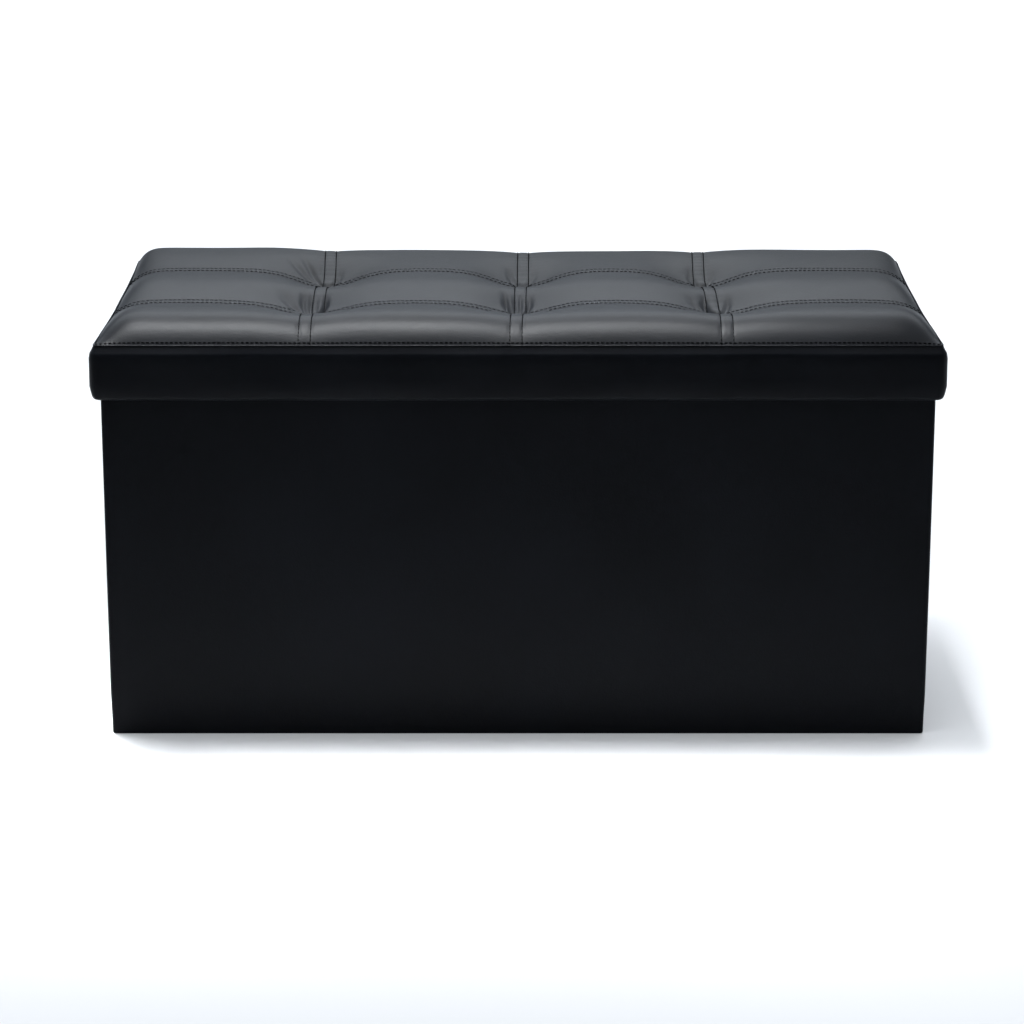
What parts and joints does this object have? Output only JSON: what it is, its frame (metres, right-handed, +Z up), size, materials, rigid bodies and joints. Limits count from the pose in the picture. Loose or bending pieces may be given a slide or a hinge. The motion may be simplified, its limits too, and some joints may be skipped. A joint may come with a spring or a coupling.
{
  "type": "storage ottoman bench",
  "caption": "Rectangular storage bench in dark faux leather: a quilted, tufted lift-off lid with a deep skirt over an open lined box with a hinged base board.",
  "frame": {"origin": "on the floor, under the middle of the bench", "axes": "+X along the bench's length, +Z up, front face towards -Y"},
  "size_m": [0.76, 0.38, 0.391],
  "materials": {
    "pu_leather": "satin",
    "nonwoven": "matte",
    "fibreboard": "matte",
    "hardboard": "matte",
    "foam": "matte",
    "cord": "matte",
    "webbing": "matte",
    "steel_wire": "satin"
  },
  "bodies": {
    "storage_box": {"floor_sheet": "nonwoven", "base_hinge_wall_leg": "webbing", "front_wall_board": "fibreboard", "back_wall_board": "fibreboard", "left_wall_board_front": "fibreboard", "left_wall_board_rear": "fibreboard", "right_wall_board_front": "fibreboard", "right_wall_board_rear": "fibreboard", "front_wall_cover": "pu_leather", "front_wall_lining": "nonwoven", "back_wall_cover": "pu_leather", "back_wall_lining": "nonwoven", "left_wall_cover": "pu_leather", "left_wall_lining": "nonwoven", "right_wall_cover": "pu_leather", "right_wall_lining": "nonwoven"},
    "lid": {"lid_board": "fibreboard", "lid_foam_pad": "foam", "lid_top_cover": "pu_leather", "lid_edge_welt": "pu_leather", "lid_skirt_foam": "foam", "lid_underside_lining": "nonwoven", "tuft_cords": "cord", "tuft_staples": "steel_wire", "skirt_brads": "steel_wire", "hem_staples": "steel_wire", "lid_skirt_board_front": "hardboard", "lid_skirt_cover_front": "pu_leather", "lid_skirt_board_back": "hardboard", "lid_skirt_cover_back": "pu_leather", "lid_skirt_board_left": "hardboard", "lid_skirt_cover_left": "pu_leather", "lid_skirt_board_right": "hardboard", "lid_skirt_cover_right": "pu_leather"},
    "base": {"base_board": "hardboard", "base_lining_bottom": "nonwoven", "base_lining_top": "nonwoven", "base_hinge_board_leg": "webbing", "base_pull_ribbon": "webbing"}
  },
  "joints": [
    {"name": "lid_lift", "type": "slide", "parent": "storage_box", "child": "lid", "axis": [0, 0, 1], "range_m": [0, 0.4]},
    {"name": "base_board_hinge", "type": "hinge", "parent": "storage_box", "child": "base", "pos_m": [0, 0.1692, 0.0067], "axis": [-1, 0, 0], "range_deg": [0, 90]}
  ]
}
